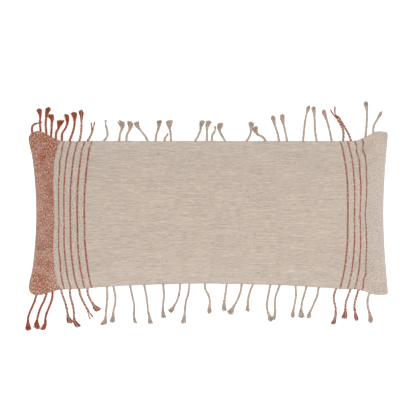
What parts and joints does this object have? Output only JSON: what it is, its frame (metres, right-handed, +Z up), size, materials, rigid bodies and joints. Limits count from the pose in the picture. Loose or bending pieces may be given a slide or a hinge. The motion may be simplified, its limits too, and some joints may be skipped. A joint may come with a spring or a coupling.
{
  "type": "throw pillow",
  "caption": "Lumbar throw pillow of slub-woven cloth with a rust end block and stripes, twisted cord fringe on both long edges, a zip closure and a soft insert.",
  "frame": {"origin": "centre of the patch that the pillow rests on, at the bottom of the stuffed cover", "axes": "+X along the pillow's length from the rust end towards the plain end, +Y across it from the zip's edge to the other long edge, +Z up through its thickness"},
  "size_m": [0.9093, 0.5731, 0.145],
  "materials": {
    "cover_cloth": "matte",
    "insert_casing": "matte",
    "filling": "matte",
    "zip_tape": "matte",
    "zip_coil": "satin",
    "sewing_thread": "matte",
    "zip_metal": "satin",
    "rust_yarn": "matte",
    "cream_yarn": "matte",
    "mixed_yarn": "matte"
  },
  "bodies": {
    "cover": {"front_panel": "cover_cloth", "back_panel_upper": "cover_cloth", "back_panel_lower": "cover_cloth", "insert_front": "insert_casing", "insert_back": "insert_casing", "insert_fill": "filling", "zip_tape_upper": "zip_tape", "zip_tape_lower": "zip_tape", "zip_coil_upper": "zip_coil", "zip_coil_lower": "zip_coil", "zip_tack_left": "sewing_thread", "zip_tack_right": "sewing_thread", "fringe_upper_01": "rust_yarn", "fringe_upper_02": "rust_yarn", "fringe_upper_03": "rust_yarn", "fringe_upper_04": "rust_yarn", "fringe_upper_05": "rust_yarn", "fringe_upper_06": "rust_yarn", "fringe_upper_07": "mixed_yarn", "fringe_upper_08": "mixed_yarn", "fringe_upper_09": "cream_yarn", "fringe_upper_10": "cream_yarn", "fringe_upper_11": "cream_yarn", "fringe_upper_12": "cream_yarn", "fringe_upper_13": "cream_yarn", "fringe_upper_14": "cream_yarn", "fringe_upper_15": "cream_yarn", "fringe_upper_16": "cream_yarn", "fringe_upper_17": "cream_yarn", "fringe_upper_18": "cream_yarn", "fringe_upper_19": "cream_yarn", "fringe_upper_20": "cream_yarn", "fringe_upper_21": "mixed_yarn", "fringe_upper_22": "cream_yarn", "fringe_upper_23": "cream_yarn", "fringe_lower_01": "rust_yarn", "fringe_lower_02": "rust_yarn", "fringe_lower_03": "rust_yarn", "fringe_lower_04": "mixed_yarn", "fringe_lower_05": "mixed_yarn", "fringe_lower_06": "mixed_yarn", "fringe_lower_07": "mixed_yarn", "fringe_lower_08": "cream_yarn", "fringe_lower_09": "cream_yarn", "fringe_lower_10": "cream_yarn", "fringe_lower_11": "cream_yarn", "fringe_lower_12": "cream_yarn", "fringe_lower_13": "cream_yarn", "fringe_lower_14": "cream_yarn", "fringe_lower_15": "cream_yarn", "fringe_lower_16": "cream_yarn", "fringe_lower_17": "cream_yarn", "fringe_lower_18": "cream_yarn", "fringe_lower_19": "cream_yarn", "fringe_lower_20": "cream_yarn", "fringe_lower_21": "mixed_yarn", "fringe_lower_22": "mixed_yarn", "fringe_lower_23": "cream_yarn"},
    "slider": {"zip_slider": "zip_metal"},
    "pull": {"zip_pull": "zip_metal"}
  },
  "joints": [
    {"name": "zip_slide", "type": "slide", "parent": "cover", "child": "slider", "axis": [-1, 0, 0], "range_m": [0, 0.621]},
    {"name": "zip_pull_hinge", "type": "hinge", "parent": "slider", "child": "pull", "pos_m": [0.3105, -0.14891, 0.02326], "axis": [0, -0.7681, 0.6403], "range_deg": [-75, 75]}
  ]
}
